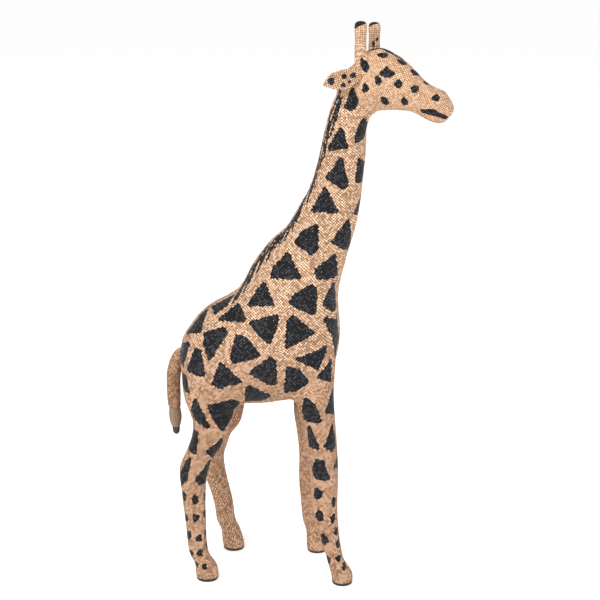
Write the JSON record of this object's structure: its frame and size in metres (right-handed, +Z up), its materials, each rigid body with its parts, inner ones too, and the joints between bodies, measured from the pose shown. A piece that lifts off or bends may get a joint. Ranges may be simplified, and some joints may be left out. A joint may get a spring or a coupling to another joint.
{
  "type": "standing giraffe figure",
  "caption": "Standing giraffe figure: wire armature packed with papier-mache and covered in jute cloth painted with black patches, with upright horns, cupped ears and a hanging tail.",
  "frame": {"origin": "on the floor, at the middle of the bounding box's footprint", "axes": "+Z up, +X the way the giraffe faces, +Y its left side"},
  "size_m": [0.3, 0.107, 0.6],
  "materials": {
    "steel_wire": "drawn wire, dull grey",
    "twine": "coarse twisted fibre",
    "wound_twine": "wound jute twine",
    "painted_tuft": "jute painted black, satin",
    "sole_pad": "dark pressed pad, matt",
    "papier_mache": "rough dried pulp",
    "stiffened_jute": "two glued layers of woven jute, matt",
    "fine_jute": "woven jute with black paint marks, matt",
    "jute_cloth": "woven jute with black paint patches, matt with satin paint"
  },
  "bodies": {
    "root": {"body_core": "papier_mache", "body_cover_left": "jute_cloth", "body_cover_right": "jute_cloth", "ear_left": "stiffened_jute", "ear_right": "stiffened_jute", "front_lashing": "twine", "front_leg_core_left": "papier_mache", "front_leg_core_right": "papier_mache", "front_leg_cover_left": "jute_cloth", "front_leg_cover_right": "jute_cloth", "front_leg_wire": "steel_wire", "head_core": "papier_mache", "head_cover": "fine_jute", "hind_lashing": "twine", "hind_leg_core_left": "papier_mache", "hind_leg_core_right": "papier_mache", "hind_leg_cover_left": "jute_cloth", "hind_leg_cover_right": "jute_cloth", "hind_leg_wire": "steel_wire", "hoof_sole_front_left": "sole_pad", "hoof_sole_front_right": "sole_pad", "hoof_sole_hind_left": "sole_pad", "hoof_sole_hind_right": "sole_pad", "horn_core_left": "papier_mache", "horn_core_right": "papier_mache", "horn_cover_left": "jute_cloth", "horn_cover_right": "jute_cloth", "horn_pin_left": "steel_wire", "horn_pin_right": "steel_wire", "neck_core": "papier_mache", "neck_cover_lower": "jute_cloth", "neck_cover_upper": "jute_cloth", "spine_wire": "steel_wire", "tail_core": "papier_mache", "tail_cover": "jute_cloth", "tail_knob": "wound_twine", "tail_tip": "painted_tuft", "tail_wire": "steel_wire"}
  },
  "joints": []
}
